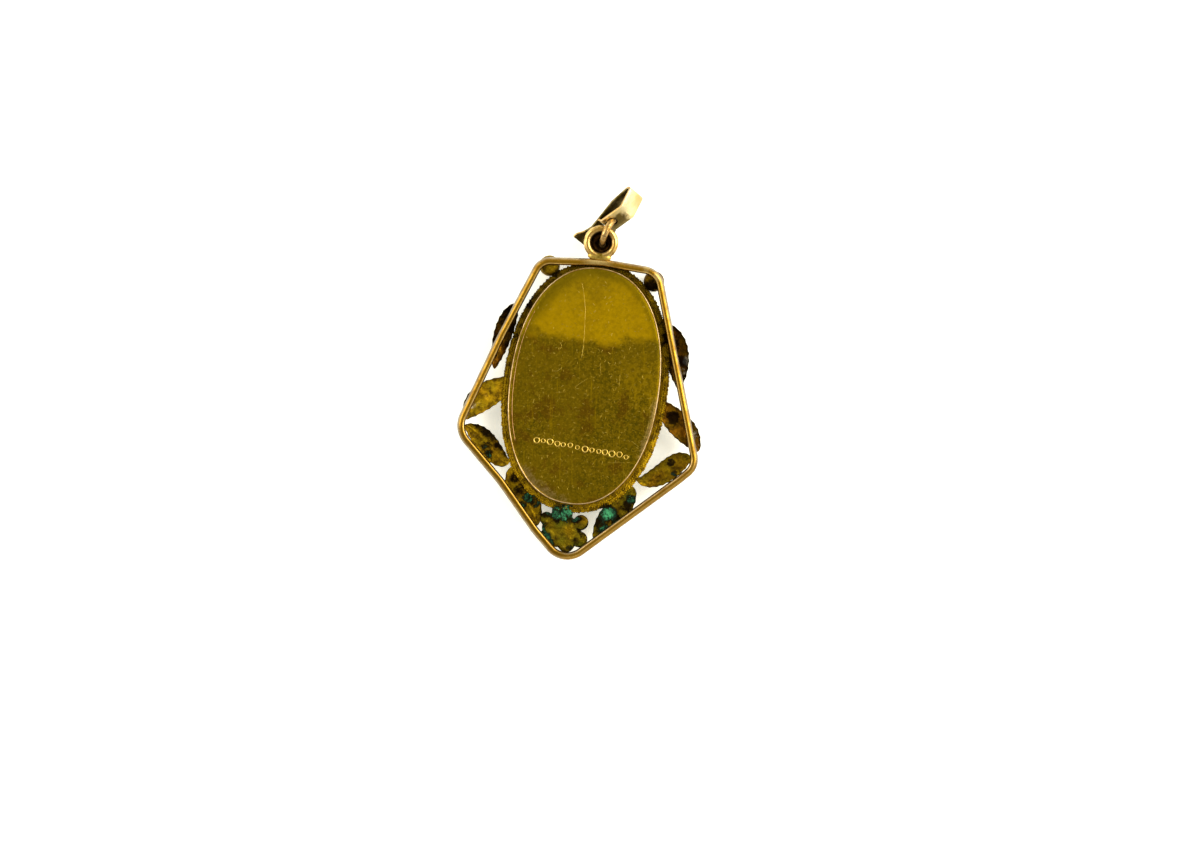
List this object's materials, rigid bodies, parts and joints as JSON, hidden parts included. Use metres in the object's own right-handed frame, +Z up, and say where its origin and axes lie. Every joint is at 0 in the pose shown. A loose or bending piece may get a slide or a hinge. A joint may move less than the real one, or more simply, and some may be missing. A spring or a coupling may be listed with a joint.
{
  "type": "opal doublet pendant",
  "caption": "Oval opal doublet pendant in a gilt leaf and berry setting with a wire frame, jump ring and folded bail, lying face down.",
  "frame": {"origin": "below the middle of the whole pendant's box, on the surface it lies on", "axes": "+Y from the berries to the bail, +Z up out of the back plate, +X to the right as seen from behind"},
  "size_m": [0.022, 0.034, 0.0035],
  "materials": {
    "gilt": "worn gilding with dark tarnish in the hollows",
    "bright_gilt": "polished",
    "opal": "polished opal with a play of colour",
    "backing": "dark ground stone"
  },
  "bodies": {
    "root": {"setting": "gilt", "opal": "opal", "backing": "backing", "jump_ring": "bright_gilt", "bail": "bright_gilt"}
  },
  "joints": []
}
